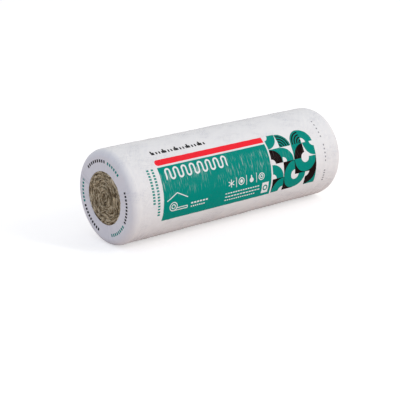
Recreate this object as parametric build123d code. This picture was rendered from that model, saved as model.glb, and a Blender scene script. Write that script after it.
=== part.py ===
from build123d import *
import os

# A roll of mineral wool insulation in a printed film sleeve, lying on its side.
# X runs along the roll, Z is up, and the origin is on the floor under the middle of the roll.
# All sizes are in millimetres.

# Driving dimensions
mat_width = 1200.0
roll_diameter = 415.0
shoulder_radius = 32.0
film_thickness = 0.15
opening_diameter = 233.0

# One layer of the mat is this thick where it is rolled up under pressure.
layer_thickness = 20.0
# The mat's cut edges bulge between the turns, and leave a crease of this width and depth.
crease_width = 11.0
crease_depth = 5.5
# The crease's spiral runs on under the film by at least this much.
crease_overlap = 6.0

roll_radius = roll_diameter / 2
wool_radius = roll_radius - film_thickness
wool_shoulder = shoulder_radius - film_thickness
roll_length = mat_width + 2 * film_thickness


def half_section(length, radius, shoulder):
    """Half of a lengthwise section of the roll, above its axis, with rounded outer corners."""
    section = Rectangle(length, radius, align=(Align.CENTER, Align.MIN))
    outer_corners = section.vertices().group_by(Axis.Y)[-1]
    return fillet(outer_corners, shoulder)


def spiral_path():
    """The line between the turns on the end at +X, as far as the film's opening shows it. It is
    made of half circles about two centres in turn, each starting where the last one ends, so that
    a whole turn is one layer further out."""
    step = layer_thickness / 2
    shown_radius = opening_diameter / 2 + crease_overlap
    half_turns = []
    radius = step
    side = 1
    while radius < shown_radius + step:
        start_angle = 0 if side > 0 else 180
        half_turns.append(CenterArc((-side * step / 2, 0), radius, start_angle, 180))
        radius += step
        side = -side
    end_face = Plane(origin=(mat_width / 2, 0, 0), x_dir=(0, 1, 0), z_dir=(1, 0, 0))
    return end_face * Wire(half_turns)


def spiral_crease():
    """What two neighbouring turns leave open between them, along the spiral."""
    path = spiral_path()
    end = mat_width / 2
    outside = end + crease_depth
    middle = path.position_at(0).Y
    inner = middle - crease_width / 2
    outer = middle + crease_width / 2
    outline = Polyline(
        (end, inner), (end - crease_depth, middle), (end, outer), (outside, outer), (outside, inner),
        close=True,
    )
    return sweep(make_face(outline), path=path)


def make_wool_roll():
    """The rolled mat: one turned solid with no core, whose turns show as a spiral on both ends."""
    wool = revolve(half_section(mat_width, wool_radius, wool_shoulder), Axis.X)
    crease = spiral_crease()
    return wool - crease - mirror(crease, Plane.YZ)


def make_film_sleeve():
    """The film: a sleeve that turns in over both ends and leaves a round opening in each."""
    outside = half_section(roll_length, roll_radius, shoulder_radius)
    inside = half_section(mat_width, wool_radius, wool_shoulder)
    openings = Rectangle(roll_length, opening_diameter / 2, align=(Align.CENTER, Align.MIN))
    return revolve(outside - inside - openings, Axis.X)


def main():
    os.makedirs("parts", exist_ok=True)
    on_the_floor = Pos(0, 0, roll_radius)
    export_step(on_the_floor * make_wool_roll(), "parts/wool_roll.step")
    export_step(on_the_floor * make_film_sleeve(), "parts/film_sleeve.step")


main()
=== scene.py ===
from itertools import product
from math import cos, pi, radians, sin, tau

import bpy
import numpy as np
from mathutils import Matrix, Vector


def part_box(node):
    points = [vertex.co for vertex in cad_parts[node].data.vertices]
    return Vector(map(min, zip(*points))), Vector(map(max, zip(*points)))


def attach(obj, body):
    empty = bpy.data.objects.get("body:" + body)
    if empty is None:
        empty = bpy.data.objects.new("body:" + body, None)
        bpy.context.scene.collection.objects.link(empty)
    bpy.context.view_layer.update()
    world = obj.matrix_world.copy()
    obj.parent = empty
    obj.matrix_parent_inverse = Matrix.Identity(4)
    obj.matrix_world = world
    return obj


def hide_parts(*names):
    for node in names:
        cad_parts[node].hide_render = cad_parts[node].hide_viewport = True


# A roll of mineral wool insulation in a printed film sleeve, on a pale studio floor.
# The roll lies along X. The frame gives its size and place, in metres. Angles round the roll
# start at the side that faces -Y and grow towards the top.

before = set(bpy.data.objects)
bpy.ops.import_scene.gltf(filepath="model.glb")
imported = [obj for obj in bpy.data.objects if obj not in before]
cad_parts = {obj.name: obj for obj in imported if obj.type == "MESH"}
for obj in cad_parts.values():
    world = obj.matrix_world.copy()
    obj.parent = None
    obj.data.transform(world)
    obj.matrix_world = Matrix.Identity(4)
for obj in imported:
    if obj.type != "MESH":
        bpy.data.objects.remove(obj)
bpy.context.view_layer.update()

MM = 0.001

# The roll's sizes, read off the CAD sleeve: its end faces, radius, openings and shoulders.
sleeve_low, sleeve_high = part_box("film_sleeve")
END = sleeve_high.x
RADIUS = (sleeve_high.z - sleeve_low.z) / 2
AXIS_HEIGHT = (sleeve_high.z + sleeve_low.z) / 2
sleeve_points = np.array([v.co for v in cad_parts["film_sleeve"].data.vertices])
sleeve_reach = np.hypot(sleeve_points[:, 1], sleeve_points[:, 2] - AXIS_HEIGHT)
on_plane = 0.01 * MM
sleeve_on_end = sleeve_points[:, 0] > END - on_plane
OPENING = sleeve_reach.min()
SHOULDER = RADIUS - sleeve_reach[sleeve_on_end].max()

# One layer of the rolled mat is this thick.
LAYER = 20 * MM


# Meshes

# Large numbers with no common measure, from which the noise gets its chance values.
HASH_MIX = np.array([127.1, 311.7, 74.7])
HASH_SCALE = 43758.5453


def noise(seed, *coordinates):
    """Smooth noise from -1 to 1, whose lumps are about one unit apart."""
    points = np.stack(np.broadcast_arrays(*coordinates), axis=-1)
    cell = np.floor(points)
    part = points - cell
    ease = part**3 * (part * (part * 6 - 15) + 10)
    mixing = HASH_MIX[: points.shape[-1]]
    total = 0.0
    for corner in product((0, 1), repeat=points.shape[-1]):
        weight = np.prod(np.where(corner, ease, 1 - ease), axis=-1)
        value = np.sin((cell + corner) @ mixing + seed) * HASH_SCALE % 1
        total = total + weight * (value * 2 - 1)
    return total


def fractal(seed, octaves, *coordinates):
    """Noise with finer and fainter lumps on its lumps."""
    total = 0.0
    for octave in range(octaves):
        scaled = [c * 2.1**octave for c in coordinates]
        total = total + noise(seed + 17 * octave, *scaled) * 0.5**octave
    return total


def step_between(low, high, value):
    """0 below low, 1 above high, and smooth between them."""
    part = np.clip((value - low) / (high - low), 0, 1)
    return part * part * (3 - 2 * part)


def around(reach, angle):
    """The Y and Z of points at a distance from the roll's axis."""
    return -reach * np.cos(angle), AXIS_HEIGHT + reach * np.sin(angle)


def add_piece(name, points, faces, material):
    """A smooth mesh object of these points and faces."""
    mesh = bpy.data.meshes.new(name)
    mesh.from_pydata(points.tolist(), [], faces)
    mesh.shade_smooth()
    mesh.materials.append(material)
    piece = bpy.data.objects.new(name, mesh)
    bpy.context.scene.collection.objects.link(piece)
    return piece


def ring_faces(rows, columns, first=0, closed=False):
    """Four-sided faces between rows of points, each of which goes all the way round."""
    faces = []
    for row in range(rows if closed else rows - 1):
        here = first + row * columns
        above = first + (row + 1) % rows * columns
        for column in range(columns):
            after = (column + 1) % columns
            faces.append((here + column, above + column, above + after, here + after))
    return faces


# The film sleeve

FILM_COLUMNS = 336
FILM_THICKNESS = 0.4 * MM
# The film's inner face keeps this far from the outer one where the wool hides it, and goes over
# from the thickness at the opening to this within a short way.
FILM_LINING = 1.8 * MM
LINING_START = 20 * MM
# The folds are finest near the ends, so the film has more points along this length of its body.
RIPPLED = 150 * MM
# The film's edge lies over its other edge along the back. Its step fades out round the roll, and
# a band beside it is sealed.
SEAM_ANGLE = radians(164)
SEAM_STEP = 1.0 * MM
SEAM_FADE = 110 * MM
SEAL_WIDTH = 14 * MM
SEAL_GAP = 3 * MM
# The film stays this far above the floor.
FLOOR_GAP = 0.1 * MM


def half_section(ring_step, shoulder_steps, fine_step, coarse_step):
    """The roll's section from the left opening to its middle: x, distance from the axis, and the
    outward direction along x and away from the axis, in columns."""
    ring = np.arange(OPENING, RADIUS - SHOULDER, ring_step)
    turn = np.linspace(0, pi / 2, shoulder_steps)
    straight = END - SHOULDER
    rippled = np.linspace(0, RIPPLED, round(RIPPLED / fine_step), endpoint=False)[1:]
    plain = np.linspace(RIPPLED, straight, round((straight - RIPPLED) / coarse_step), endpoint=False)
    body = np.concatenate([rippled, plain]) - straight
    x = np.concatenate([np.full(len(ring), -END), -straight - SHOULDER * np.cos(turn), body])
    reach = np.concatenate(
        [ring, RADIUS - SHOULDER + SHOULDER * np.sin(turn), np.full(len(body), RADIUS)]
    )
    out_x = np.concatenate([np.full(len(ring), -1.0), -np.cos(turn), np.zeros(len(body))])
    out_reach = np.concatenate([np.zeros(len(ring)), np.sin(turn), np.ones(len(body))])
    return np.stack([x, reach, out_x, out_reach], axis=1)


def whole_section(**steps):
    """The section from the left opening over the body to the right one."""
    half = half_section(**steps)
    other = half[::-1] * (-1, 1, -1, 1)
    return np.concatenate([half, other])


def swells_and_folds(x, across, up):
    """The body's soft relief, in millimetres: the mat under the film is uneven and presses through
    a little, and soft folds run round the roll, most of all near its ends and below."""
    swell = noise(1, x / 0.24, across * 1.3, up * 1.3) + 0.4 * noise(2, x / 0.09, across * 2.6, up * 2.6)
    folds = noise(3, x / 0.0125, across * 1.6, up * 1.6) + 0.5 * noise(4, x / 0.007, across * 3, up * 3)
    near_end = 1 - step_between(60 * MM, 230 * MM, END - np.abs(x))
    low_side = step_between(0.1, -0.75, up)
    return swell + 0.42 * folds * (0.4 + near_end * (1.6 + 3.2 * low_side))


def slanted_creases(x, angle):
    """Creases that wind round the roll, in millimetres, some steep and some nearly along it. Each
    kind has a seed, a twist in radians a metre, a length in metres and a height."""
    creases = 0.0
    for seed, twist, long, height in ((5, 1.6, 0.16, 0.5), (6, -2.3, 0.16, 0.5), (10, -5.6, 0.07, 0.8)):
        turned = angle + twist * x
        ridge = noise(seed, x / long, 13 * np.cos(turned), 13 * np.sin(turned))
        creases = creases + step_between(0.72, 1.0, 1 - np.abs(ridge)) * height
    return creases


def lap_seam(x, angle):
    """The step of the lap's wavy edge and the puckers beside it, in millimetres."""
    edge = SEAM_ANGLE + 1.2 * MM / RADIUS * noise(11, x / 0.05, x / 0.03)
    past_edge = (edge - angle) * RADIUS
    lap = step_between(0, 4 * MM, past_edge) * (1 - step_between(0, SEAM_FADE, past_edge))
    puckers = noise(12, x / 0.011, angle * 6) * (1 - step_between(0, 45 * MM, np.abs(past_edge)))
    return lap * SEAM_STEP / MM + 0.35 * puckers


def end_pleats(reach, across, up):
    """The relief of the film that is turned in over the end, in millimetres: shallow pleats, which
    gather towards the opening."""
    inward = 1 - step_between(OPENING, RADIUS - 0.6 * SHOULDER, reach)
    pleats = noise(7, reach / 0.07, 11 * across, 11 * up)
    pleats = pleats + 0.6 * noise(8, reach / 0.05, 23 * across, 23 * up)
    return pleats * (0.2 + 0.8 * inward) + 0.6 * noise(9, reach / 0.06, 2 * across, 2 * up)


def film_relief(x, reach, angle):
    """How far the film stands out of the plain roll, in metres."""
    across, up = np.cos(angle), np.sin(angle)
    on_body = step_between(0, 1.2 * SHOULDER, END - np.abs(x))
    body = swells_and_folds(x, across, up) + slanted_creases(x, angle) + lap_seam(x, angle)
    end = end_pleats(reach, across, up)
    return (on_body * body + (1 - on_body) * end) * MM


def film_points(section, inset):
    """Points round each row of the section, set in from the outer face by inset."""
    angle = np.arange(FILM_COLUMNS) * tau / FILM_COLUMNS
    x, reach, out_x, out_reach = (column[:, None] for column in section.T)
    lift = film_relief(x, reach, angle[None, :]) - inset
    y, z = around(reach + out_reach * lift, angle[None, :])
    points = np.stack([np.broadcast_to(x + out_x * lift, z.shape), y, z], axis=-1)
    # The roll's weight flattens it where it lies on the floor.
    points[..., 2] = np.maximum(points[..., 2], inset + FLOOR_GAP)
    return points


def make_film(material):
    """The film: a thin closed shell, from one opening over the body to the other and back inside."""
    outer_section = whole_section(
        ring_step=4.2 * MM, shoulder_steps=14, fine_step=4 * MM, coarse_step=8.5 * MM,
    )
    outside = film_points(outer_section, 0.0)
    lining_section = whole_section(
        ring_step=16 * MM, shoulder_steps=6, fine_step=30 * MM, coarse_step=60 * MM,
    )[::-1]
    depth = np.clip((lining_section[:, 1] - OPENING) / LINING_START, 0, 1)
    inset = FILM_THICKNESS + (FILM_LINING - FILM_THICKNESS) * depth
    lining = film_points(lining_section, inset[:, None])
    points = np.concatenate([outside, lining])
    faces = ring_faces(len(points), FILM_COLUMNS, closed=True)
    film = add_piece("printed_film", points.reshape(-1, 3), faces, material)
    film.data.set_sharp_from_angle(angle=radians(50))
    return film


# The rolled mat

WOOL_COLUMNS = 384
WOOL_STEP = 1.2 * MM
# Under the film, the mat keeps this far from the film's outer face.
WOOL_GAP = 2.6 * MM
# The fine rows of points of the mat's face go on for this much under the film.
FACE_OVERLAP = 4 * MM
# Each end has chance shapes of its own, which its loose fibres follow.
LEFT_SEED, RIGHT_SEED = 20, 40


def wool_relief(reach, angle, seed):
    """How far the mat's end stands out of its plane, in metres, and its painted shade, from 0 to 1,
    darkest deep in a gap and where the wool lies low."""
    y, z = reach * np.cos(angle), reach * np.sin(angle)
    warp = 8 * MM * fractal(seed, 2, y / 0.06, z / 0.06) + 2.5 * MM * noise(seed + 1, y / 0.017, z / 0.017)
    turns = (reach + warp) / LAYER - angle / tau
    across = turns - np.floor(turns)
    from_gap = np.minimum(across, 1 - across) * LAYER
    open_gap = step_between(0.0, 0.6, noise(seed + 2, y / 0.05, z / 0.05))
    gap = np.exp(-((from_gap / ((1.2 + 1.6 * open_gap) * MM)) ** 2)) * (0.2 + 0.8 * open_gap)

    # Inside a layer the wool splits in thinner leaves here and there.
    leaves_a_layer = 3.4
    leaves = turns * leaves_a_layer + 0.5 * noise(seed + 3, y / 0.02, z / 0.02)
    from_split = np.abs(leaves - np.round(leaves)) * LAYER / leaves_a_layer
    split = np.exp(-((from_split / (1.1 * MM)) ** 2))
    split = split * step_between(0.0, 0.5, noise(seed + 4, y / 0.02, z / 0.02))

    # Each layer bulges, its wool is lumpy, and flecks of fibre lie along the turns.
    bulge = np.sqrt(np.clip(1 - (2 * across - 1) ** 2, 0, 1))
    lumps = fractal(seed + 5, 3, y / 0.02, z / 0.02)
    turned = reach + 1.6 * warp
    flecks = noise(seed + 6, turned / 0.0038, y / 0.015, z / 0.015)
    flecks = flecks + 0.7 * noise(seed + 7, turned / 0.0024, y / 0.008, z / 0.008)

    # The relief is in millimetres. The shade is painted shade: what lies deep is dark.
    relief = bulge - 8 * gap - 3 * split + 1.3 * lumps + 2.0 * flecks - 1.8
    shade = np.clip(0.38 + 0.6 * gap + 0.4 * split - 0.15 * lumps - 0.85 * flecks, 0, 1)
    return relief * MM, shade


def store_shade(piece, shade):
    """Gives the piece's points the painted shade that the wool's colour follows, 0 in light, 1 in a gap.
    """
    values = piece.data.attributes.new("gap_shade", "FLOAT", "POINT")
    values.data.foreach_set("value", shade.astype(np.float32))


def wool_section():
    """The rows of the mat from one end's middle to its widest, with x and distance from the axis."""
    face = np.arange(WOOL_STEP, OPENING + FACE_OVERLAP, WOOL_STEP)
    hidden = np.linspace(OPENING + 12 * MM, RADIUS - SHOULDER, 5)
    turn = np.linspace(0, pi / 2, 5)[1:]
    inner = RADIUS - WOOL_GAP
    x = np.concatenate([
        np.full(len(face) + len(hidden), -END),
        -END + SHOULDER * (1 - np.cos(turn)),
        [-END / 2],
    ])
    reach = np.concatenate([face, hidden, inner - SHOULDER + SHOULDER * np.sin(turn), [inner]])
    return x, reach


def wool_end(side, seed):
    """The points of the mat from the middle of one end to the middle of its length, and their
    shade in the gaps. side is -1 for the left end and 1 for the right one."""
    x, reach = (column[:, None] for column in wool_section())
    angle = (np.arange(WOOL_COLUMNS) * tau / WOOL_COLUMNS)[None, :]
    relief, shade = wool_relief(reach, angle, seed)
    under_film = step_between(OPENING - 5 * MM, OPENING + 1 * MM, reach)
    on_face = reach < OPENING + FACE_OVERLAP
    relief = relief * (1 - under_film) - WOOL_GAP * under_film
    relief = np.where(on_face, relief, -WOOL_GAP)
    shade = np.where(on_face, shade, 0.5)
    near_face = x < -END + SHOULDER / 2
    y, z = around(reach, angle)
    points = np.stack([side * (-x + relief * near_face), y, z], axis=-1)
    return points, shade


def make_wool(material):
    """The rolled mat, closed all round, with the turns of its spiral in both openings."""
    left, left_shade = wool_end(-1, LEFT_SEED)
    right, right_shade = wool_end(1, RIGHT_SEED)
    rows = np.concatenate([left, right[::-1]])
    shade = np.concatenate([left_shade, right_shade[::-1]])
    middles = np.stack([rows[0].mean(axis=0), rows[-1].mean(axis=0)])
    points = np.concatenate([middles, rows.reshape(-1, 3)])
    faces = ring_faces(len(rows), WOOL_COLUMNS, first=2)
    last = 2 + (len(rows) - 1) * WOOL_COLUMNS
    for column in range(WOOL_COLUMNS):
        after = (column + 1) % WOOL_COLUMNS
        faces.append((0, 2 + column, 2 + after))
        faces.append((1, last + after, last + column))
    wool = add_piece("wool_mat", points, faces, material)
    middle_shade = 0.3
    store_shade(wool, np.concatenate([[middle_shade, middle_shade], shade.ravel()]))
    return wool


# Loose fibres on the mat's ends

FIBRES = 2400
FIBRE_SIDES = 3
# A bundle's thickness at each of its points, as a share of its thickest.
FIBRE_TAPER = (0.35, 0.9, 1.0, 1.0, 0.9, 0.35)
FIBRE_POINTS = len(FIBRE_TAPER)
# The shortest and longest bundle, and the radius of the thinnest and thickest, in millimetres.
FIBRE_LENGTHS = (8, 26)
FIBRE_RADII = (0.14, 0.42)
# No bundle's middle line stands out of the end plane by more than this.
FIBRE_LIFT = 2.2 * MM


def lay_fibres(seed):
    """Where the bundles on one end lie: at each of their points, y and z from the axis, height over
    the end plane, heading and shade, and for each bundle the radius where it is thickest."""
    draw = np.random.default_rng(seed)
    each = (FIBRES, 1)
    reach = (OPENING - 6 * MM) * np.sqrt(draw.uniform(0, 1, each))
    angle = draw.uniform(0, tau, each)
    heading = angle + pi / 2 + draw.normal(0, 0.5, each)
    length = draw.uniform(*FIBRE_LENGTHS, each) * MM
    bend = draw.normal(0, 0.9, each)
    thick = draw.uniform(*FIBRE_RADII, each) * MM
    along = np.linspace(-0.5, 0.5, FIBRE_POINTS)
    turned = heading + bend * along
    y = reach * np.cos(angle) + length * along * np.cos(turned)
    z = reach * np.sin(angle) + length * along * np.sin(turned)
    far = np.hypot(y, z)
    # Each bundle takes the painted shade of the wool under it, mostly a little lighter.
    relief, shade = wool_relief(far, np.arctan2(z, y), seed)
    shade = np.clip(shade * 0.9 - draw.uniform(-0.05, 0.35, each), 0, 1)
    lift = relief * 0.6 + (draw.uniform(-0.2, 1.6, each) + 0.8 * along) * MM
    lift = np.minimum(lift, FIBRE_LIFT)
    # A bundle that would reach the film is left out.
    keep = (far < OPENING - 1.5 * MM).all(axis=1)
    return [part[keep] for part in (y, z, lift, turned, shade, thick)]


def make_fibres(side, seed, material):
    """Loose bundles of fibre that lie on one end of the mat, each a thin bent tube."""
    y, z, lift, turned, shade, thick = (part[..., None] for part in lay_fibres(seed))
    corners = np.arange(FIBRE_SIDES) * tau / FIBRE_SIDES
    taper = np.array(FIBRE_TAPER)[:, None]
    wide = thick * taper * np.cos(corners)
    high = thick * taper * np.sin(corners)
    x = side * (END + lift) + high
    y = y - wide * np.sin(turned)
    z = z + wide * np.cos(turned)
    points = np.stack([x, -y, AXIS_HEIGHT + z], axis=-1).reshape(-1, 3)
    faces = []
    for fibre in range(len(points) // (FIBRE_POINTS * FIBRE_SIDES)):
        first = fibre * FIBRE_POINTS * FIBRE_SIDES
        faces += ring_faces(FIBRE_POINTS, FIBRE_SIDES, first=first)
        last = first + (FIBRE_POINTS - 1) * FIBRE_SIDES
        faces.append(tuple(range(first, first + FIBRE_SIDES)))
        faces.append(tuple(range(last + FIBRE_SIDES - 1, last - 1, -1)))
    name = "loose_fibres_left" if side < 0 else "loose_fibres_right"
    fibres = add_piece(name, points, faces, material)
    store_shade(fibres, np.repeat(shade.ravel(), FIBRE_SIDES))
    return fibres


# Materials, written as sums of signals

class Signal:
    """A number that a material's nodes work out at each point. Sums of signals make the nodes."""

    def __init__(self, socket):
        self.socket = socket

    def __add__(self, other):
        return combine("ADD", self, other)

    def __radd__(self, other):
        return combine("ADD", other, self)

    def __sub__(self, other):
        return combine("SUBTRACT", self, other)

    def __rsub__(self, other):
        return combine("SUBTRACT", other, self)

    def __mul__(self, other):
        return combine("MULTIPLY", self, other)

    def __rmul__(self, other):
        return combine("MULTIPLY", other, self)

    def __truediv__(self, other):
        return combine("DIVIDE", self, other)

    def __abs__(self):
        return combine("ABSOLUTE", self)

    def __neg__(self):
        return combine("MULTIPLY", self, -1.0)


def plug(value, socket):
    """Gives a node's socket a signal, a link or a plain value."""
    if isinstance(value, Signal):
        value = value.socket
    if isinstance(value, bpy.types.NodeSocket):
        socket.id_data.links.new(value, socket)
    else:
        socket.default_value = value


def combine(operation, *values, clamp=False):
    """A Math node."""
    tree = next(value.socket.id_data for value in values if isinstance(value, Signal))
    node = tree.nodes.new("ShaderNodeMath")
    node.operation = operation
    node.use_clamp = clamp
    for value, socket in zip(values, node.inputs):
        plug(value, socket)
    return Signal(node.outputs[0])


def largest(first, *others):
    """The largest of some signals: where shapes overlap."""
    for other in others:
        first = combine("MAXIMUM", first, other)
    return first


def smallest(first, *others):
    """The smallest of some signals: all shapes together."""
    for other in others:
        first = combine("MINIMUM", first, other)
    return first


def distance(x, y):
    """How far a point is from where both x and y are 0."""
    return combine("SQRT", x * x + y * y)


def repeat(value, period):
    """The value's place in its period, from minus half a period to plus half."""
    return combine("FLOORED_MODULO", value + period / 2, period) - period / 2


def ramp(low, high, value):
    """0 below low, 1 above high, and straight between them."""
    return combine("MULTIPLY_ADD", value, 1 / (high - low), -low / (high - low), clamp=True)


class Material:
    """A material with a Principled shader, and the nodes that feed it."""

    def __init__(self, name):
        self.material = bpy.data.materials.new(name)
        self.material.use_nodes = True
        self.tree = self.material.node_tree
        self.shader = self.tree.nodes["Principled BSDF"]
        self.shader.inputs["Metallic"].default_value = 0

    def set(self, **values):
        """Gives the shader's sockets these values."""
        for name, value in values.items():
            plug(value, self.shader.inputs[name.replace("_", " ")])

    def place(self):
        """The point's x, y and height above the roll's axis, in millimetres."""
        coordinates = self.tree.nodes.new("ShaderNodeTexCoord")
        separate = self.tree.nodes.new("ShaderNodeSeparateXYZ")
        plug(coordinates.outputs["Object"], separate.inputs[0])
        x, y, z = (Signal(output) / MM for output in separate.outputs)
        return x, y, z - AXIS_HEIGHT / MM

    def vector(self, x, y, z=0.0):
        """A vector of three signals or plain values."""
        node = self.tree.nodes.new("ShaderNodeCombineXYZ")
        for value, socket in zip((x, y, z), node.inputs):
            plug(value, socket)
        return node.outputs[0]

    def noise(self, x, y, z, detail=2.0, roughness=0.5):
        """Noise from 0 to 1, whose lumps are about one unit apart."""
        node = self.tree.nodes.new("ShaderNodeTexNoise")
        plug(self.vector(x, y, z), node.inputs["Vector"])
        node.inputs["Scale"].default_value = 1.0
        node.inputs["Detail"].default_value = detail
        node.inputs["Roughness"].default_value = roughness
        return Signal(node.outputs[0])

    def chances(self, column, row):
        """Three chance numbers from 0 to 1 that stay the same all over a tile."""
        node = self.tree.nodes.new("ShaderNodeTexWhiteNoise")
        plug(self.vector(column, row), node.inputs["Vector"])
        separate = self.tree.nodes.new("ShaderNodeSeparateColor")
        plug(node.outputs["Color"], separate.inputs[0])
        return [Signal(output) for output in separate.outputs]

    def stored(self, name):
        """A number that the mesh stores at its points."""
        node = self.tree.nodes.new("ShaderNodeAttribute")
        node.attribute_name = name
        return Signal(node.outputs["Fac"])

    def paint(self, under, share, over):
        """A colour laid over another, as far as share says."""
        node = self.tree.nodes.new("ShaderNodeMix")
        node.data_type = "RGBA"
        plug(share, node.inputs[0])
        plug(under, node.inputs[6])
        plug(over, node.inputs[7])
        return node.outputs[2]

    def bump(self, height):
        """Tilts the surface as a relief of this height, in millimetres, would."""
        node = self.tree.nodes.new("ShaderNodeBump")
        node.inputs["Distance"].default_value = MM
        plug(height, node.inputs["Height"])
        plug(node.outputs[0], self.shader.inputs["Normal"])


def rgb(red, green, blue):
    """A screen colour of 0 to 255 a channel, as the shaders read it."""
    linear = [c / 12.92 if c <= 0.04045 else ((c + 0.055) / 1.055) ** 2.4
              for c in (red / 255, green / 255, blue / 255)]
    return (*linear, 1.0)


FILM_WHITE = rgb(241, 241, 241)
FILM_DULL = rgb(231, 231, 234)
SEAL_GREY = rgb(214, 216, 219)
LAP_EDGE_GREY = rgb(186, 188, 192)
CREASE_PAINTED_SHADE = rgb(205, 207, 218)
INK_GREEN = rgb(0, 143, 130)
INK_RED = rgb(252, 44, 58)
INK_DARK = rgb(24, 9, 9)
INK_BLACK = rgb(12, 12, 14)
INK_GREY = rgb(112, 116, 122)

# The wool's colours from its crests down into the gaps, darker with depth as painted shade, and those of
# fibres that lie on it
WOOL_CREST = rgb(234, 220, 187)
WOOL_MIDDLE = rgb(174, 155, 119)
WOOL_GAP_PAINTED_SHADE = rgb(66, 49, 27)
WOOL_MOTTLE = rgb(146, 122, 84)
FIBRE_PALE = rgb(228, 218, 192)
FIBRE_DARK = rgb(96, 78, 52)
FIBRE_CROSSED = rgb(232, 222, 198)

# The print's layout on the unrolled film, in millimetres: x along the roll, and up from the
# line of the film that faces -Y.
PANEL_LEFT, PANEL_RIGHT = -440.0, 157.0
PANEL_BOTTOM, PANEL_TOP = -87.0, 150.0
# The panel's left edge leans by this share of its height.
PANEL_LEAN = 0.025
BAND_BOTTOM, BAND_TOP = 158.0, 186.0
# The panel and the band are drawn this much too long and cut off straight at the right.
CUT_OFF = 30.0
TILE = 67.5
TILES = 4
TILES_LEFT, TILES_BOTTOM = 165.0, -84.0
PICTURE_LINE = 4.0
SIGNS_LEFT, SIGNS_UP, SIGN_PITCH = -76.0, 12.0, 58.0
PRINT_EDGE = 0.7
# Painted glints: pale streaks in the ink, along a band of the film about the middle of the print, where
# the lamp's glints fall.
GLINT_BAND_MIDDLE, GLINT_BAND_REACH = 80.0, 75.0

# Rows of dashes. Each has its start, end, middle line and height, the period of its dashes, and
# the share of the period that is inked. The columns run up the film, the other rows along it.
SCALE_TICKS = (
    (-424, -136, 222, 14, 16.0, 0.5),
    (-456, -136, 227, 24, 64.0, 0.125),
)
SMALL_LINES = (
    (-300, -205, -31, 7, 15.0, 0.7),
    (-300, -220, -47, 6, 12.0, 0.6),
    (-110, 88, -30, 5, 14.0, 0.7),
    (-110, 92, -46, 5, 17.0, 0.75),
    (-110, 66, -62, 5, 13.0, 0.65),
)
COLUMNS_BY_THE_PANEL = (
    (-57, 152, -468, 12, 13.0, 0.62),
    (-1, 152, -492, 12, 13.0, 0.62),
)
COLUMNS_BY_THE_SHOULDER = (
    (-92, -28, 492, 10, 13.0, 0.5),
    (4, 96, 494, 7, 18.0, 0.4),
    (118, 224, 494, 7, 21.0, 0.35),
)
# Rows of dashes round the ends, from one angle to another in degrees, and what they all share: the
# middle line's distance from the axis, the height, the period and the share of it that is inked.
END_DASHES = (
    (-158, -106, INK_BLACK),
    (-75, -33, INK_GREEN),
    (-29, 24, INK_BLACK),
    (48, 82, INK_GREEN),
    (86, 138, INK_BLACK),
    (160, 200, INK_GREEN),
)
END_DASHES_SHAPE = (160.0, 13, 15.5, 0.62)


def inside(shape):
    """How much of a point the ink covers, where shape is its distance outside the outline."""
    return combine("MULTIPLY_ADD", shape, -1 / PRINT_EDGE, 0.5, clamp=True)


# Each shape below is a point's distance outside its outline, and negative inside it.

def box(x, y, left, right, bottom, top, corner=0.0):
    """A rectangle, whose corners may be round."""
    across = abs(x - (left + right) / 2) - (right - left) / 2 + corner
    upward = abs(y - (bottom + top) / 2) - (top - bottom) / 2 + corner
    if corner:
        return distance(largest(across, 0.0), largest(upward, 0.0)) - corner
    return largest(across, upward)


def stroke(x, y, start, end, width):
    """A straight line with round ends."""
    run, rise = end[0] - start[0], end[1] - start[1]
    ahead = (x - start[0]) * run + (y - start[1]) * rise
    part = combine("MULTIPLY_ADD", ahead, 1 / (run * run + rise * rise), 0.0, clamp=True)
    return distance(x - start[0] - part * run, y - start[1] - part * rise) - width / 2


def hoop(x, y, centre, radius, width):
    """A circle's outline."""
    return abs(distance(x - centre[0], y - centre[1]) - radius) - width / 2


def serpentine(x, y, left, right, bottom, top, spacing, width):
    """One line that winds up and down, as drawings show insulation."""
    turn = spacing / 2
    middle, straight = (bottom + top) / 2, (top - bottom) / 2 - turn
    above = distance(repeat(x - left - turn, 2 * spacing), largest(y - middle - straight, 0.0))
    below = distance(repeat(x - left - turn - spacing, 2 * spacing), largest(middle - straight - y, 0.0))
    upper_half = combine("GREATER_THAN", y, middle)
    line = abs(below + (above - below) * upper_half - turn) - width / 2
    return largest(line, box(x, y, left - width / 2, right + width / 2, bottom - width, top + width))


def dashes(along, across, start, end, middle, height, period, share):
    """A row of short marks, as many as fit whole, each as long as its share of the period."""
    pitch = (end - start) / round((end - start) / period)
    mark = abs(repeat(along - start - pitch / 2, pitch)) - pitch * share / 2
    row = box(along, across, start, end, middle - height / 2, middle + height / 2)
    return largest(mark, row)


def dash_rows(along, across, rows):
    """All the rows of dashes of one kind."""
    return smallest(*(dashes(along, across, *row) for row in rows))


def panel_area(x, up):
    """The green panel, whose left edge leans."""
    leaning = x + (PANEL_TOP - up) * PANEL_LEAN
    panel = box(leaning, up, PANEL_LEFT, PANEL_RIGHT + CUT_OFF, PANEL_BOTTOM, PANEL_TOP)
    return largest(panel, x - PANEL_RIGHT)


def band_area(x, up):
    """The red band over the panel, with a round left end."""
    corner = (BAND_TOP - BAND_BOTTOM) / 2
    band = box(x, up, PANEL_LEFT, PANEL_RIGHT + CUT_OFF, BAND_BOTTOM, BAND_TOP, corner=corner)
    return largest(band, x - PANEL_RIGHT)


def tiles_area(x, up):
    """The square that the tiles fill."""
    return box(x, up, TILES_LEFT, TILES_LEFT + TILES * TILE, TILES_BOTTOM, TILES_BOTTOM + TILES * TILE)


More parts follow.
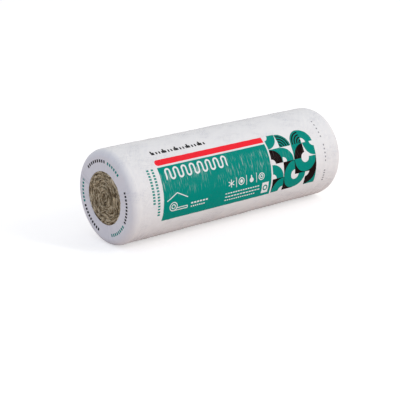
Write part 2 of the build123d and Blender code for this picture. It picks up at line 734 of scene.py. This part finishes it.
def print_tiles(film, under, x, up):
    """A plain pattern of quarter circles in square tiles, in the print's green and dark inks."""
    across, upward = (x - TILES_LEFT) / TILE, (up - TILES_BOTTOM) / TILE
    column, row = combine("FLOOR", across), combine("FLOOR", upward)
    first, second, third = film.chances(column, row)

    # Two chances pick the corner that the quarter circle is about, and the third picks its kind:
    # dark on green, green on white, the same with stripes, or green on dark.
    flip_x, flip_up = combine("GREATER_THAN", first, 0.5), combine("GREATER_THAN", second, 0.5)
    in_x, in_up = across - column, upward - row
    in_x = in_x + flip_x * (1 - 2 * in_x)
    in_up = in_up + flip_up * (1 - 2 * in_up)
    reach = distance(in_x, in_up) * TILE
    dark_quarter = combine("LESS_THAN", third, 0.34)
    dark_ground = combine("GREATER_THAN", third, 0.76)
    striped = combine("GREATER_THAN", third, 0.5) - dark_ground
    area = inside(tiles_area(x, up))
    quarter = inside(reach - TILE * 0.97)
    core = inside(reach - TILE * 0.34)
    stripe = inside(abs(repeat(reach, TILE * 0.2)) - TILE * 0.05)
    colour = film.paint(under, area * dark_quarter, INK_GREEN)
    colour = film.paint(colour, area * dark_ground, INK_DARK)
    colour = film.paint(colour, area * quarter, INK_GREEN)
    colour = film.paint(colour, area * quarter * dark_quarter, INK_DARK)
    colour = film.paint(colour, area * core * (1 - striped), FILM_WHITE)
    return film.paint(colour, area * quarter * striped * stripe, INK_DARK)


def roof_over_roll(x, up):
    """A roof over a roll whose mat is drawn out to the right."""
    line = PICTURE_LINE
    roll_x, roll_up = -392.0, -28.0
    roll_outside, roll_core = 19.0, 9.0
    mat_right = -318.0
    mat_bottom = roll_up - roll_outside
    mat_top = mat_bottom + 10
    return smallest(
        stroke(x, up, (-424, 2), (-372, 30), line),
        stroke(x, up, (-372, 30), (mat_right, 2), line),
        hoop(x, up, (roll_x, roll_up), roll_outside, line),
        hoop(x, up, (roll_x, roll_up), roll_core, line),
        stroke(x, up, (roll_x, mat_bottom), (mat_right, mat_bottom), line),
        stroke(x, up, (mat_right, mat_bottom), (mat_right, mat_top), line),
        stroke(x, up, (roll_x + 16, mat_top), (mat_right, mat_top), line),
    )


def sign_row(x, up):
    """Signs for snow, sun, a drop and sound in a row, with a thin upright line between each two."""
    line = PICTURE_LINE
    snow, sun, drop, sound = (SIGNS_LEFT + place * SIGN_PITCH for place in range(4))
    return smallest(
        stroke(x, up, (snow, SIGNS_UP - 16), (snow, SIGNS_UP + 16), line),
        stroke(x, up, (snow - 14, SIGNS_UP - 8), (snow + 14, SIGNS_UP + 8), line),
        stroke(x, up, (snow - 14, SIGNS_UP + 8), (snow + 14, SIGNS_UP - 8), line),
        distance(x - sun, up - SIGNS_UP) - 8,
        hoop(x, up, (sun, SIGNS_UP), 15, line),
        distance(x - drop, up - SIGNS_UP + 5) - 11,
        stroke(x, up, (drop, SIGNS_UP), (drop, SIGNS_UP + 14), 6),
        hoop(x, up, (sound, SIGNS_UP), 7, line),
        hoop(x, up, (sound, SIGNS_UP), 15, line),
        dashes(x, up, snow, sound, SIGNS_UP, 44, SIGN_PITCH, 0.05),
    )


def ring_square(x, up):
    """A plain square with a ring left out of it."""
    square_x, square_up = 123.0, -46.0
    wide, high = 38.0, 52.0
    square = box(
        x, up, square_x - wide / 2, square_x + wide / 2, square_up - high / 2, square_up + high / 2,
    )
    return largest(square, -hoop(x, up, (square_x, square_up), 11, 6))


def print_white(film, under, x, up):
    """What is white in the panel: a winding line, small pictures and rows of dashes."""
    winding = serpentine(x, up, left=-408, right=-84, bottom=92, top=137, spacing=21.6, width=8)
    pictures = smallest(
        roof_over_roll(x, up), sign_row(x, up), dash_rows(x, up, SMALL_LINES), ring_square(x, up),
    )
    colour = film.paint(under, inside(winding), FILM_WHITE)
    return film.paint(colour, inside(pictures), FILM_WHITE)


def print_dashes(film, under, x, up):
    """The rows of dashes on the body, outside the panel."""
    far_strength = 0.85
    colour = film.paint(under, inside(dash_rows(x, up, SCALE_TICKS)), INK_BLACK)
    colour = film.paint(colour, inside(dash_rows(up, x, COLUMNS_BY_THE_PANEL)), INK_GREEN)
    far = inside(dash_rows(up, x, COLUMNS_BY_THE_SHOULDER)) * far_strength
    return film.paint(colour, far, INK_GREY)


def print_ends(film, under, x, reach, angle):
    """Rows of dashes round both end rings."""
    on_end = combine("GREATER_THAN", abs(x), (END - 3 * MM) / MM)
    ring = END_DASHES_SHAPE[0]
    along = angle * ring
    colour = under
    for start, end, ink in END_DASHES:
        # A row that goes past half a turn is measured on angles from 0 to a whole turn.
        turned = along if end <= 180 else combine("FLOORED_MODULO", along, tau * ring)
        row = dashes(turned, reach, radians(start) * ring, radians(end) * ring, *END_DASHES_SHAPE)
        colour = film.paint(colour, inside(row) * on_end, ink)
    return colour


def painted_glint_streaks(film, x, up, cosine, sine):
    """How much painted glint lies along the crests of the finest wrinkles: pale streaks that stand for the
    lamp's glints.
    """
    crests = film.noise(x / 2.7, cosine * 5, sine * 5, detail=1)
    near_middle = ramp(GLINT_BAND_REACH, GLINT_BAND_REACH / 2, abs(up - GLINT_BAND_MIDDLE))
    return ramp(0.58, 0.76, crests) * near_middle * 0.5


def sealed_band(from_lap_edge):
    """How much of a point the sealed band below the lap's edge covers."""
    half, soft_edge = SEAL_WIDTH / MM / 2, 0.75
    middle = -SEAL_GAP / MM - half
    return ramp(half, half - soft_edge, abs(from_lap_edge - middle))


def faint_creases(film, x, angle, cosine, sine):
    """Thin creases on a slant, in patches. Each kind has a twist in radians a millimetre, a length
    in millimetres and the fineness of its streaks round the roll."""
    creases = 0.0
    for twist, long, fine in ((0.0016, 90, 26), (-0.0058, 34, 22)):
        turned = angle + x * twist
        streak_y, streak_z = combine("COSINE", turned) * fine, combine("SINE", turned) * fine
        streak = film.noise(x / long, streak_y, streak_z, detail=1)
        creases = creases + ramp(0.035, 0.0, abs(streak - 0.5))
    return creases * ramp(0.45, 0.6, film.noise(x / 110, cosine * 3 + 5, sine * 3))


def film_material():
    """White polyethylene film with a print, fine creases and a slight gloss."""
    film = Material("printed film")
    x, y, z = film.place()
    angle = combine("ARCTAN2", z, -y)
    up = angle * (RADIUS / MM)
    reach = distance(y, z)
    cosine, sine = -y / reach, z / reach
    panel, band, tiles = panel_area(x, up), band_area(x, up), tiles_area(x, up)

    # The white of the film is a little uneven, where more or less wool shows through.
    cloud = film.noise(x / 60, y / 60, z / 60, detail=3)
    colour = film.paint(FILM_WHITE, ramp(0.45, 0.75, cloud) * 0.35, FILM_DULL)

    colour = film.paint(colour, inside(panel), INK_GREEN)
    colour = film.paint(colour, inside(band), INK_RED)
    colour = print_white(film, colour, x, up)
    colour = print_tiles(film, colour, x, up)
    colour = print_dashes(film, colour, x, up)
    colour = print_ends(film, colour, x, reach, angle)

    # Fine wrinkles run round the roll in patches, most where the ink tightens the film. Along their
    # crests, pale streaks in the ink are painted glints of the lamp.
    inked = largest(inside(panel), inside(tiles) * 0.4)
    patches = ramp(0.36, 0.56, film.noise(x / 70, cosine * 4, sine * 4)) * (0.25 + inked * 0.75)
    wrinkles = film.noise(x / 6.5, cosine * 7, sine * 7, detail=2, roughness=0.55)
    painted_glints = painted_glint_streaks(film, x, up, cosine, sine) * patches * inked
    colour = film.paint(colour, painted_glints, FILM_WHITE)

    # The lap's edge is a thin grey line, and the seal is a duller band with fine ribs.
    from_lap_edge = up - SEAM_ANGLE * RADIUS / MM
    seal = sealed_band(from_lap_edge)
    ribs = combine("SINE", x * 2.4) * seal
    colour = film.paint(colour, seal * 0.6, SEAL_GREY)
    colour = film.paint(colour, ramp(1.6, 0.4, abs(from_lap_edge)) * 0.7, LAP_EDGE_GREY)

    # Painted shade: the creases are painted grey, only where the film is bare.
    creases = faint_creases(film, x, angle, cosine, sine)
    bare = 1 - inside(smallest(panel, band, tiles))
    colour = film.paint(colour, creases * 0.3 * bare, CREASE_PAINTED_SHADE)
    film.set(Base_Color=colour, Roughness=0.15, Specular_IOR_Level=0.045)
    film.bump(wrinkles * (0.35 + patches * 1.4) + creases * 0.3 + ribs * 0.12)
    return film.material


def wool_material():
    """Matt brown mineral wool. Fibres lie along the turns, and the gaps between turns are painted dark as
    shade.
    """
    wool = Material("mineral wool")
    x, y, z = wool.place()
    reach = distance(y, z)
    cosine, sine = -y / reach, z / reach
    gap = wool.stored("gap_shade")
    mottle = wool.noise(x / 14, y / 14, z / 14, detail=4, roughness=0.6)
    fibres = wool.noise(reach / 1.1, cosine * 16, sine * 16, detail=4, roughness=0.65)
    crossed = wool.noise(x / 0.9, (y + z) / 0.9, (y - z) / 5, detail=2)
    # The colour follows the painted shade stored at the points: light on the crests, dark down in the
    # gaps.
    colour = wool.paint(WOOL_CREST, ramp(0.0, 0.45, gap), WOOL_MIDDLE)
    colour = wool.paint(colour, ramp(0.45, 0.95, gap), WOOL_GAP_PAINTED_SHADE)
    colour = wool.paint(colour, ramp(0.45, 0.65, mottle) * 0.3, WOOL_MOTTLE)
    colour = wool.paint(colour, ramp(0.5, 0.7, fibres) * 0.5, FIBRE_PALE)
    colour = wool.paint(colour, ramp(0.48, 0.34, fibres) * 0.5, FIBRE_DARK)
    colour = wool.paint(colour, ramp(0.62, 0.78, crossed) * 0.35, FIBRE_CROSSED)
    wool.set(Base_Color=colour, Roughness=0.95, Specular_IOR_Level=0.1)
    wool.bump(fibres * 1.1 + crossed * 0.4 + mottle * 0.8)
    return wool.material


# The stage

# The floor's colour as light falls back from it on the roll, and as the camera sees it, with a glow
FLOOR_LIT = (0.77, 0.67, 0.64, 1)
FLOOR_SHOWN = (0.72, 0.72, 0.72, 1)
FLOOR_GLOW = 0.5
FLOOR_HALF = 12.0
# The light from all round, on the right and at the far left
SKY_RIGHT = (0.745, 0.73, 0.71, 1)
SKY_LEFT = (0.43, 0.51, 0.71, 1)


def make_floor():
    """A pale floor that shows white to the camera and keeps the roll's shadow."""
    material = bpy.data.materials.new("pale floor")
    material.use_nodes = True
    tree = material.node_tree
    tree.nodes.clear()
    output = tree.nodes.new("ShaderNodeOutputMaterial")
    rays = tree.nodes.new("ShaderNodeLightPath")
    lit = tree.nodes.new("ShaderNodeBsdfDiffuse")
    lit.inputs["Color"].default_value = FLOOR_LIT
    shown = tree.nodes.new("ShaderNodeBsdfDiffuse")
    shown.inputs["Color"].default_value = FLOOR_SHOWN
    glow = tree.nodes.new("ShaderNodeEmission")
    glow.inputs["Strength"].default_value = FLOOR_GLOW
    both = tree.nodes.new("ShaderNodeAddShader")
    choice = tree.nodes.new("ShaderNodeMixShader")
    plug(shown.outputs[0], both.inputs[0])
    plug(glow.outputs[0], both.inputs[1])
    plug(rays.outputs["Is Camera Ray"], choice.inputs[0])
    plug(lit.outputs[0], choice.inputs[1])
    plug(both.outputs[0], choice.inputs[2])
    plug(choice.outputs[0], output.inputs["Surface"])
    corners = [(-1, -1, 0), (1, -1, 0), (1, 1, 0), (-1, 1, 0)]
    points = np.array(corners) * FLOOR_HALF
    floor = add_piece("floor", points, [(0, 1, 2, 3)], material)


def make_world():
    """Soft light from all round, cooler from the left, and white behind the floor's edge."""
    world = bpy.data.worlds.new("studio")
    bpy.context.scene.world = world
    world.use_nodes = True
    tree = world.node_tree
    background = tree.nodes["Background"]
    coordinates = tree.nodes.new("ShaderNodeTexCoord")
    direction = tree.nodes.new("ShaderNodeSeparateXYZ")
    blend = tree.nodes.new("ShaderNodeMix")
    blend.data_type = "RGBA"
    plug(coordinates.outputs["Generated"], direction.inputs[0])
    plug(ramp(0.0, -1.0, Signal(direction.outputs[0])), blend.inputs[0])
    plug(SKY_RIGHT, blend.inputs[6])
    plug(SKY_LEFT, blend.inputs[7])
    plug(blend.outputs[2], background.inputs["Color"])
    white = tree.nodes.new("ShaderNodeBackground")
    white.inputs["Color"].default_value = (1, 1, 1, 1)
    rays = tree.nodes.new("ShaderNodeLightPath")
    choice = tree.nodes.new("ShaderNodeMixShader")
    plug(rays.outputs["Is Camera Ray"], choice.inputs[0])
    plug(background.outputs[0], choice.inputs[1])
    plug(white.outputs[0], choice.inputs[2])
    plug(choice.outputs[0], tree.nodes["World Output"].inputs["Surface"])


def make_lamp(name, place, width, height, power, colour):
    """A soft lamp that faces the roll."""
    light = bpy.data.lights.new(name, "AREA")
    light.shape = "RECTANGLE"
    light.size = width
    light.size_y = height
    light.energy = power
    light.color = colour
    lamp = bpy.data.objects.new(name, light)
    lamp.location = place
    towards = Vector((0, 0, AXIS_HEIGHT)) - Vector(place)
    lamp.rotation_euler = towards.to_track_quat("-Z", "Y").to_euler()
    bpy.context.scene.collection.objects.link(lamp)


# The camera, as fitted to the roll's outline in a square picture
CAMERA_PLACE = (-3.2477, -3.9284, 1.7302)
CAMERA_AZIMUTH = -38.84
CAMERA_ELEVATION = 17.97
CAMERA_ROLL = -0.113
CAMERA_LENS = 106.27


def make_camera():
    """The camera, turned by its azimuth, elevation and roll."""
    azimuth, elevation, roll = map(radians, (CAMERA_AZIMUTH, CAMERA_ELEVATION, CAMERA_ROLL))
    back = Vector((sin(azimuth) * cos(elevation), -cos(azimuth) * cos(elevation), sin(elevation)))
    level = Vector((0, 0, 1)).cross(back).normalized()
    right = level * cos(roll) + back.cross(level) * sin(roll)
    up = back.cross(right)
    turn = Matrix((right, up, back)).transposed().to_4x4()
    data = bpy.data.cameras.new("camera")
    data.lens = CAMERA_LENS
    camera = bpy.data.objects.new("camera", data)
    camera.matrix_world = Matrix.Translation(CAMERA_PLACE) @ turn
    bpy.context.scene.collection.objects.link(camera)
    bpy.context.scene.camera = camera


def main():
    make_camera()
    film = make_film(film_material())
    wool_look = wool_material()
    wool = make_wool(wool_look)
    fibres = [make_fibres(-1, LEFT_SEED, wool_look), make_fibres(1, RIGHT_SEED, wool_look)]
    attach(film, "root")
    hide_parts("film_sleeve")
    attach(wool, "root")
    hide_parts("wool_roll")
    for piece in fibres:
        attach(piece, "root")

    make_floor()
    make_world()
    make_lamp("key", place=(3.2, -6.6, 4.2), width=0.5, height=6.4, power=202, colour=(1.0, 0.98, 0.96))
    bpy.context.scene.view_settings.view_transform = "Standard"


main()
